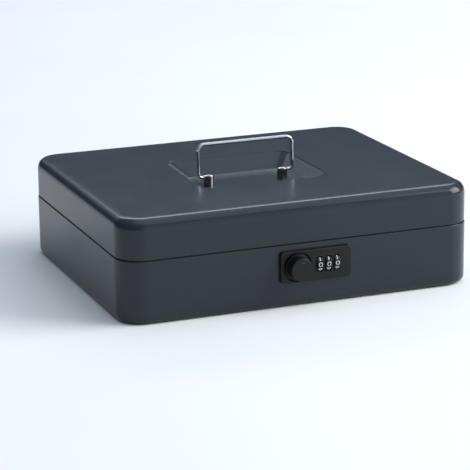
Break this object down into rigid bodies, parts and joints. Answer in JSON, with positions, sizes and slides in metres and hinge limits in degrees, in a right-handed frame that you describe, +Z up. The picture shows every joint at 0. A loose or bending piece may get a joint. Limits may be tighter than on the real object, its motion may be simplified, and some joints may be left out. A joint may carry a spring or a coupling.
{
  "type": "cash box",
  "caption": "Low steel box with a hinged dished lid, a folding wire handle, a lift-out coin tray and a combination lock with a turning knob on its front.",
  "frame": {"origin": "centre of the flat underside", "axes": "+Z up, -Y towards the lock side, +Y towards the hinges, +X to the right seen from the lock side"},
  "size_m": [0.305, 0.2688, 0.111],
  "materials": {
    "body_paint": "satin powder coat, fine grain",
    "chrome": "polished chrome plate",
    "post_nickel": "dark nickel plate, polished",
    "zinc_steel": "bright zinc plate",
    "spring_steel": "spring steel, bare",
    "code_brass": "turned brass",
    "lock_plastic": "fine-textured black moulding",
    "dial_plastic": "semi-gloss black with white figures",
    "tray_plastic": "matt moulded tray"
  },
  "bodies": {
    "base": {"base_shell": "body_paint", "tray_ledge_left": "body_paint", "tray_ledge_right": "body_paint", "hinge_base_leaf_left": "body_paint", "hinge_pin_left": "zinc_steel", "lock_screw_left": "zinc_steel", "hinge_base_leaf_right": "body_paint", "hinge_pin_right": "zinc_steel", "lock_screw_right": "zinc_steel", "lock_housing": "lock_plastic", "lock_clamp_plate": "zinc_steel", "lock_back_cover": "zinc_steel", "cover_screw_upper": "zinc_steel", "cover_screw_lower": "zinc_steel", "dial_axle": "zinc_steel", "sleeve_spring": "spring_steel", "dial_detent_spring": "spring_steel"},
    "lid": {"lid_shell": "body_paint", "hinge_lid_leaf_left": "body_paint", "hinge_lid_leaf_right": "body_paint", "lid_catch": "zinc_steel", "handle_post_left": "post_nickel", "handle_post_right": "post_nickel", "post_washer_left": "zinc_steel", "post_washer_right": "zinc_steel", "post_screw_left": "zinc_steel", "post_screw_right": "zinc_steel"},
    "handle": {"carry_handle": "chrome"},
    "tray": {"coin_tray": "tray_plastic"},
    "knob_set": {"knob": "lock_plastic", "knob_spindle": "zinc_steel", "thrust_washer": "zinc_steel", "latch_hook": "zinc_steel", "hook_nut": "zinc_steel"},
    "dial_set_1": {"dial_1": "dial_plastic", "code_sleeve_1": "code_brass"},
    "dial_set_2": {"dial_2": "dial_plastic", "code_sleeve_2": "code_brass"},
    "dial_set_3": {"dial_3": "dial_plastic", "code_sleeve_3": "code_brass"},
    "code_lever": {"code_change_lever": "lock_plastic"}
  },
  "joints": [
    {"name": "lid_hinge", "type": "hinge", "parent": "base", "child": "lid", "pos_m": [0, 0.1277, 0.0522], "axis": [-1, 0, 0], "range_deg": [0, 100]},
    {"name": "handle_fold", "type": "hinge", "parent": "lid", "child": "handle", "pos_m": [0, 0, 0.0811], "axis": [1, 0, 0], "range_deg": [-90, 90]},
    {"name": "tray_lift", "type": "slide", "parent": "base", "child": "tray", "axis": [0, 0, 1], "range_m": [0, 0.062]},
    {"name": "knob_turn", "type": "hinge", "parent": "base", "child": "knob_set", "pos_m": [-0.0068, -0.125, 0.0339], "axis": [0, 1, 0], "range_deg": [0, 90]},
    {"name": "code_change", "type": "slide", "parent": "base", "child": "code_lever", "axis": [1, 0, 0], "range_m": [0, 0.006]},
    {"name": "dial_1_turn", "type": "hinge", "parent": "base", "child": "dial_set_1", "pos_m": [0.0126, -0.1227, 0.0339], "axis": [1, 0, 0], "continuous": true},
    {"name": "dial_2_turn", "type": "hinge", "parent": "base", "child": "dial_set_2", "pos_m": [0.02, -0.1227, 0.0339], "axis": [1, 0, 0], "continuous": true},
    {"name": "dial_3_turn", "type": "hinge", "parent": "base", "child": "dial_set_3", "pos_m": [0.0274, -0.1227, 0.0339], "axis": [1, 0, 0], "continuous": true}
  ],
  "couplings": [
    {"joint": "tray_lift", "follows": "lid_hinge", "m_per_rad": 0.035}
  ]
}
